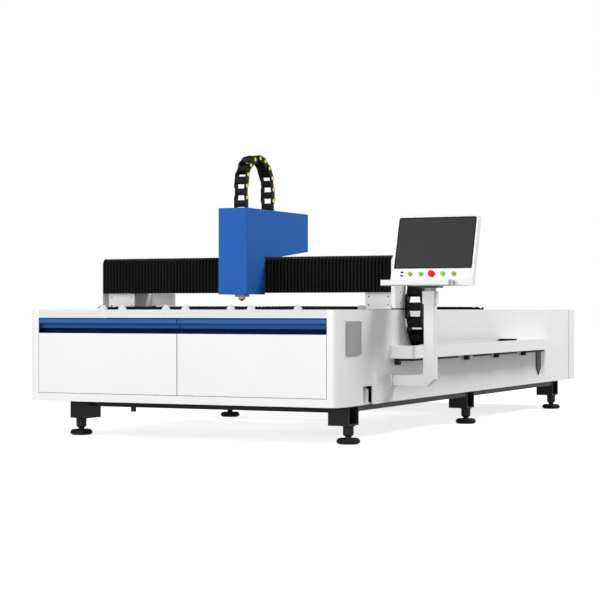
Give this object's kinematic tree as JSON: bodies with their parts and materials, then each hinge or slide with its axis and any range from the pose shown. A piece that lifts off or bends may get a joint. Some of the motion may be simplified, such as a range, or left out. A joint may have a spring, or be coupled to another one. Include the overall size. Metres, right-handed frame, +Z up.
{
  "type": "flatbed fiber laser cutting machine",
  "caption": "Open flat-bed laser cutting machine: slat table on a long bed, travelling gantry with covered cutting head, slag drawers, cable chains and a swivelling operator console.",
  "frame": {"origin": "middle of the overall box, on the floor under the levelling feet", "axes": "+X across the bed towards the console, +Y from the drawer end to the back, +Z up"},
  "size_m": [2.924, 5.266, 1.9425],
  "materials": {
    "white_paint": "satin powder coat",
    "frame_paint": "satin paint",
    "blue_paint": "satin powder coat",
    "dark_paint": "fine textured powder coat",
    "grey_paint": "satin paint",
    "bare_steel": "brushed",
    "rail_steel": "ground",
    "slat_steel": "mill scale",
    "ball_nylon": "polished",
    "bowl_plastic": "moulded",
    "pad_rubber": "matte",
    "bellows_fabric": "coated fabric",
    "chain_plastic": "moulded",
    "head_metal": "anodised",
    "nozzle_metal": "machined",
    "screen_glass": "anti-glare",
    "green_plastic": "moulded",
    "red_plastic": "moulded"
  },
  "bodies": {
    "bed": {"side_beams": "frame_paint", "frame_members": "frame_paint", "base_rails": "dark_paint", "base_cross_tubes": "dark_paint", "leg_brackets": "dark_paint", "foot_studs": "dark_paint", "foot_pads": "pad_rubber", "front_fascia": "white_paint", "side_skin_left": "white_paint", "side_skin_right": "white_paint", "rear_cover": "white_paint", "drawer_rails": "bare_steel", "slat_supports": "dark_paint", "slats": "slat_steel", "y_rails": "rail_steel", "y_racks": "rail_steel", "ball_cups": "bare_steel", "transfer_balls": "ball_nylon", "chain_tray": "white_paint", "tray_brackets": "dark_paint", "y_chain_lower": "chain_plastic", "y_chain_anchor": "dark_paint", "vent_grille": "grey_paint", "air_filter": "bowl_plastic", "corner_cover": "white_paint", "console_arm": "white_paint"},
    "drawer_left": {"drawer_tray_left": "bare_steel", "drawer_front_left": "white_paint", "drawer_grip_left": "blue_paint"},
    "drawer_right": {"drawer_tray_right": "bare_steel", "drawer_front_right": "white_paint", "drawer_grip_right": "blue_paint"},
    "gantry": {"gantry_beam": "frame_paint", "end_plates": "white_paint", "pedestals": "frame_paint", "y_bearings": "rail_steel", "y_motors": "dark_paint", "junction_box": "frame_paint", "bellows_left": "bellows_fabric", "bellows_right": "bellows_fabric", "x_rails": "rail_steel", "chain_clamp": "dark_paint"},
    "y_chain": {"y_chain_loop": "chain_plastic"},
    "carriage": {"carriage_plate": "bare_steel", "x_bearings": "rail_steel", "head_cover": "blue_paint", "z_actuator": "grey_paint", "z_chain_guide": "bare_steel"},
    "head": {"head_slide": "bare_steel", "laser_head": "head_metal", "nozzle": "nozzle_metal"},
    "z_chain": {"z_chain": "chain_plastic"},
    "console": {"console_housing": "white_paint", "console_neck": "dark_paint", "screen": "screen_glass"},
    "button_1": {"button_1": "green_plastic"},
    "button_2": {"button_2": "green_plastic"},
    "button_3": {"button_3": "green_plastic"},
    "button_4": {"button_4": "green_plastic"},
    "stop_button": {"stop_button": "red_plastic"}
  },
  "joints": [
    {"name": "gantry_y", "type": "slide", "parent": "bed", "child": "gantry", "axis": [0, 1, 0], "range_m": [0, 3.05], "deforming": ["y_chain_lower"]},
    {"name": "carriage_x", "type": "slide", "parent": "gantry", "child": "carriage", "axis": [1, 0, 0], "range_m": [-0.816, 0.684], "deforming": ["bellows_left", "bellows_right"]},
    {"name": "head_z", "type": "slide", "parent": "carriage", "child": "head", "axis": [0, 0, 1], "range_m": [-0.03, 0.09]},
    {"name": "z_chain_z", "type": "slide", "parent": "carriage", "child": "z_chain", "axis": [0, 0, 1], "range_m": [-0.02, 0.05]},
    {"name": "y_chain_y", "type": "slide", "parent": "gantry", "child": "y_chain", "axis": [0, 1, 0], "range_m": [-1.53, 0]},
    {"name": "drawer_left_slide", "type": "slide", "parent": "bed", "child": "drawer_left", "axis": [0, -1, 0], "range_m": [0, 0.8]},
    {"name": "drawer_right_slide", "type": "slide", "parent": "bed", "child": "drawer_right", "axis": [0, -1, 0], "range_m": [0, 0.8]},
    {"name": "console_swivel", "type": "hinge", "parent": "bed", "child": "console", "pos_m": [1.105, -1.73, 0.94], "axis": [0, 0, 1], "range_deg": [-10, 90]},
    {"name": "button_1_press", "type": "slide", "parent": "console", "child": "button_1", "axis": [0, 0.9563, -0.2924], "range_m": [0, 0.004], "stiffness_N_per_m": 600},
    {"name": "button_2_press", "type": "slide", "parent": "console", "child": "button_2", "axis": [0, 0.9563, -0.2924], "range_m": [0, 0.004], "stiffness_N_per_m": 600},
    {"name": "button_3_press", "type": "slide", "parent": "console", "child": "button_3", "axis": [0, 0.9563, -0.2924], "range_m": [0, 0.004], "stiffness_N_per_m": 600},
    {"name": "button_4_press", "type": "slide", "parent": "console", "child": "button_4", "axis": [0, 0.9563, -0.2924], "range_m": [0, 0.004], "stiffness_N_per_m": 600},
    {"name": "stop_press", "type": "slide", "parent": "console", "child": "stop_button", "axis": [0, 0.9563, -0.2924], "range_m": [0, 0.004], "stiffness_N_per_m": 1200}
  ],
  "couplings": [
    {"joint": "z_chain_z", "follows": "head_z", "ratio": 0.5},
    {"joint": "y_chain_y", "follows": "gantry_y", "ratio": -0.5}
  ]
}
